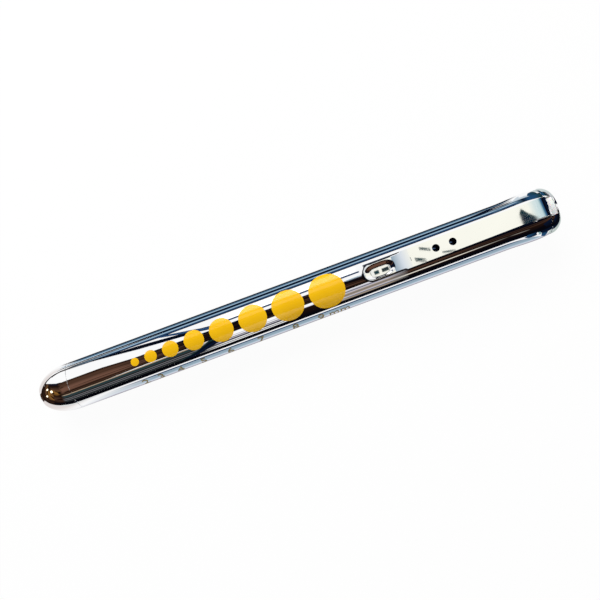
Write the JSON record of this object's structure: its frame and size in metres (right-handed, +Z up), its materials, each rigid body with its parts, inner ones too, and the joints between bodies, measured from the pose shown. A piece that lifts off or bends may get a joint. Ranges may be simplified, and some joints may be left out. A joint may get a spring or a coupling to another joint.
{
  "type": "penlight",
  "caption": "Slim chromed penlight: lamp in a slotted nose ring, spring pocket clip that is also the switch, printed pupil gauge and a domed screw-on tail cap.",
  "frame": {"origin": "on the surface that the pen lies on, under the middle of its length and its axis", "axes": "+X along the pen from the domed tail to the lamp, +Z up through the clip, +Y across"},
  "size_m": [0.136, 0.0124, 0.0142],
  "materials": {
    "chrome": "mirror chrome plate",
    "spring_steel": "bright wire and sheet",
    "cell_can": "dull zinc",
    "cell_jacket": "plain printed sleeve",
    "cell_seal": "moulded",
    "white_plastic": "moulded",
    "brass": "bright",
    "black_glass": "gloss",
    "lamp_glass": "clear",
    "gauge_print": "gloss ink"
  },
  "bodies": {
    "barrel": {"barrel": "chrome", "nose_ring": "chrome", "pupil_gauge": "gauge_print", "rear_cell_can": "cell_can", "rear_cell_jacket": "cell_jacket", "rear_cell_seal": "cell_seal", "rear_cell_cap": "spring_steel", "front_cell_can": "cell_can", "front_cell_jacket": "cell_jacket", "front_cell_seal": "cell_seal", "front_cell_cap": "spring_steel", "lamp_holder": "white_plastic", "lamp_socket": "brass", "bulb_shell": "brass", "bulb_insulator": "black_glass", "bulb_tip": "spring_steel", "bulb_glass": "lamp_glass", "bulb_stem": "lamp_glass", "support_wires": "spring_steel", "filament": "spring_steel"},
    "clip": {"clip": "chrome"},
    "tail_spring": {"tail_spring": "spring_steel"},
    "tail_cap": {"tail_cap": "chrome"}
  },
  "joints": [
    {"name": "clip_press", "type": "hinge", "parent": "barrel", "child": "clip", "pos_m": [0.0629, 0, 0.0116], "axis": [0, 1, 0], "range_deg": [-1.16, 3], "stiffness_Nm_per_rad": 0.7},
    {"name": "tail_travel", "type": "slide", "parent": "barrel", "child": "tail_spring", "axis": [-1, 0, 0], "range_m": [0, 0.0048]},
    {"name": "tail_cap_turn", "type": "hinge", "parent": "tail_spring", "child": "tail_cap", "pos_m": [-0.0583, 0, 0.0062], "axis": [-1, 0, 0], "range_deg": [0, 2160]}
  ],
  "couplings": [
    {"joint": "tail_cap_turn", "follows": "tail_travel", "rad_per_m": 7854}
  ]
}
